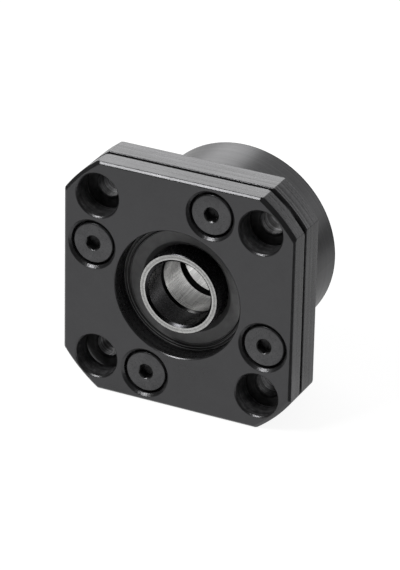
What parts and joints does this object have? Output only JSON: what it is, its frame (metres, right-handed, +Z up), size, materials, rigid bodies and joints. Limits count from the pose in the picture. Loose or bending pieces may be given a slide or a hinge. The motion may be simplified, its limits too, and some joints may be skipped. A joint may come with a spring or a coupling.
{
  "type": "ball screw end support",
  "caption": "Square flanged end support that carries the fixed end of a ball screw spindle in a pair of sealed ball bearings behind a screwed-on lid.",
  "frame": {"origin": "on the spindle's axis, in the plane of the flange's rear mounting face", "axes": "+Y along the spindle's axis from the flange into the machine, towards the pilot's end; the lid faces -Y; +Z up, at right angles to the flange's top edge; +X to the right seen from the lid"},
  "size_m": [0.044, 0.0293, 0.044],
  "materials": {
    "black_steel": "machined, black oxide, faint oil sheen",
    "screw_steel": "black oxide, satin",
    "collar_steel": "black oxide with ground end faces",
    "bearing_steel": "ground and honed",
    "ball_steel": "polished",
    "cage_plastic": "moulded",
    "seal_rubber": "matte, moulded"
  },
  "bodies": {
    "housing": {"housing": "black_steel", "lid": "black_steel", "lid_screws": "screw_steel", "front_seal": "seal_rubber", "rear_seal": "seal_rubber", "front_outer_ring": "bearing_steel", "rear_outer_ring": "bearing_steel"},
    "spindle_sleeve": {"front_collar": "collar_steel", "front_inner_ring": "bearing_steel", "rear_inner_ring": "bearing_steel", "rear_collar": "collar_steel"},
    "front_ball_set": {"front_cage": "cage_plastic", "front_balls": "ball_steel"},
    "rear_ball_set": {"rear_cage": "cage_plastic", "rear_balls": "ball_steel"}
  },
  "joints": [
    {"name": "spindle_spin", "type": "hinge", "parent": "housing", "child": "spindle_sleeve", "pos_m": [0, 0.0043, 0], "axis": [0, 1, 0], "continuous": true},
    {"name": "front_ball_set_spin", "type": "hinge", "parent": "housing", "child": "front_ball_set", "pos_m": [0, 0.0003, 0], "axis": [0, 1, 0], "continuous": true},
    {"name": "rear_ball_set_spin", "type": "hinge", "parent": "housing", "child": "rear_ball_set", "pos_m": [0, 0.0083, 0], "axis": [0, 1, 0], "continuous": true}
  ],
  "couplings": [
    {"joint": "front_ball_set_spin", "follows": "spindle_spin", "ratio": 0.3969},
    {"joint": "rear_ball_set_spin", "follows": "spindle_spin", "ratio": 0.3969}
  ]
}
